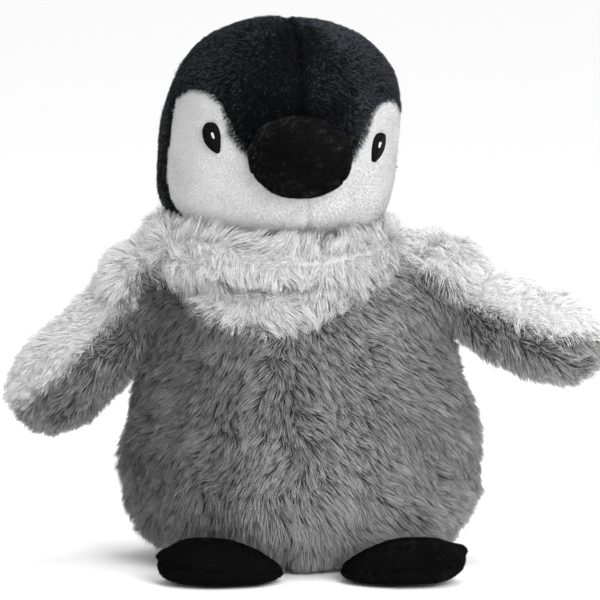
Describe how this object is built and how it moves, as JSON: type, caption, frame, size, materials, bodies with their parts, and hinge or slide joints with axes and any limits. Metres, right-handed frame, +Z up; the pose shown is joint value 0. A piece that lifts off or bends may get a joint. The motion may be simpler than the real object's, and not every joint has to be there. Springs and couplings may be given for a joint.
{
  "type": "plush penguin",
  "caption": "Sitting plush penguin chick with sewn fur panels, padded beak, embroidered eyes, flexing wings, head and feet.",
  "frame": {"origin": "centre of the flat base panel, on the surface the toy sits on", "axes": "+Z up, -Y out of the chest towards the viewer, +X to the viewer's right; the wings spread along X"},
  "size_m": [0.2939, 0.1705, 0.2667],
  "materials": {
    "dark_grey_plush": "long-pile plush, mid-dark grey",
    "light_grey_plush": "long-pile plush, light grey",
    "white_plush": "short-pile plush, white",
    "black_plush": "short-pile plush, black with a cool sheen",
    "black_velour": "short velour, black",
    "black_thread": "satin-stitch embroidery thread, black",
    "white_thread": "satin-stitch embroidery thread, white",
    "fibre_stuffing": "loose polyester fibre",
    "pouch_cotton": "plain woven cotton, undyed",
    "grain_filling": "loose dry grain",
    "satin_tape": "plain woven satin tape"
  },
  "bodies": {
    "body": {"base_panel": "dark_grey_plush", "body_front_left": "dark_grey_plush", "body_front_right": "dark_grey_plush", "body_back_left": "dark_grey_plush", "body_back_right": "dark_grey_plush", "bib_left": "light_grey_plush", "bib_right": "light_grey_plush", "yoke_back": "light_grey_plush", "body_stuffing": "fibre_stuffing", "pouch_top": "pouch_cotton", "pouch_bottom": "pouch_cotton", "pouch_grain": "grain_filling", "care_label": "satin_tape"},
    "neck": {"neck_plug": "fibre_stuffing"},
    "head": {"head_stuffing": "fibre_stuffing", "head_back": "black_plush", "crown_left": "black_plush", "crown_right": "black_plush", "cheek_left": "white_plush", "cheek_right": "white_plush", "beak_cover": "black_velour", "beak_stuffing": "fibre_stuffing", "eye_left": "black_thread", "eye_right": "black_thread", "eye_left_glint": "white_thread", "eye_right_glint": "white_thread"},
    "wing_left": {"wing_left_outer": "light_grey_plush", "wing_left_inner": "dark_grey_plush", "wing_left_stuffing": "fibre_stuffing"},
    "wing_right": {"wing_right_outer": "light_grey_plush", "wing_right_inner": "dark_grey_plush", "wing_right_stuffing": "fibre_stuffing"},
    "foot_left": {"foot_left_top": "black_velour", "foot_left_sole": "black_velour", "foot_left_stuffing": "fibre_stuffing"},
    "foot_right": {"foot_right_top": "black_velour", "foot_right_sole": "black_velour", "foot_right_stuffing": "fibre_stuffing"}
  },
  "joints": [
    {"name": "neck_turn", "type": "hinge", "parent": "body", "child": "neck", "pos_m": [-0.009, -0.002, 0.156], "axis": [0, 0, 1], "range_deg": [-60, 60], "stiffness_Nm_per_rad": 0.15},
    {"name": "head_nod", "type": "hinge", "parent": "neck", "child": "head", "pos_m": [-0.009, -0.002, 0.156], "axis": [0.9816, 0.1908, 0], "range_deg": [-12, 12], "stiffness_Nm_per_rad": 2.5},
    {"name": "wing_left_raise", "type": "hinge", "parent": "body", "child": "wing_left", "pos_m": [-0.084, 0, 0.123], "axis": [-0.0872, 0.9962, 0], "range_deg": [-5, 95], "stiffness_Nm_per_rad": 0.15},
    {"name": "wing_right_raise", "type": "hinge", "parent": "body", "child": "wing_right", "pos_m": [0.0835, 0, 0.127], "axis": [-0.4695, -0.8829, 0], "range_deg": [-30, 75], "stiffness_Nm_per_rad": 0.15},
    {"name": "foot_left_flex", "type": "hinge", "parent": "body", "child": "foot_left", "pos_m": [-0.038, -0.057, 0.017], "axis": [-1, 0, 0], "range_deg": [-15, 30], "stiffness_Nm_per_rad": 0.1},
    {"name": "foot_right_flex", "type": "hinge", "parent": "body", "child": "foot_right", "pos_m": [0.049, -0.057, 0.017], "axis": [-1, 0, 0], "range_deg": [-15, 30], "stiffness_Nm_per_rad": 0.1}
  ]
}
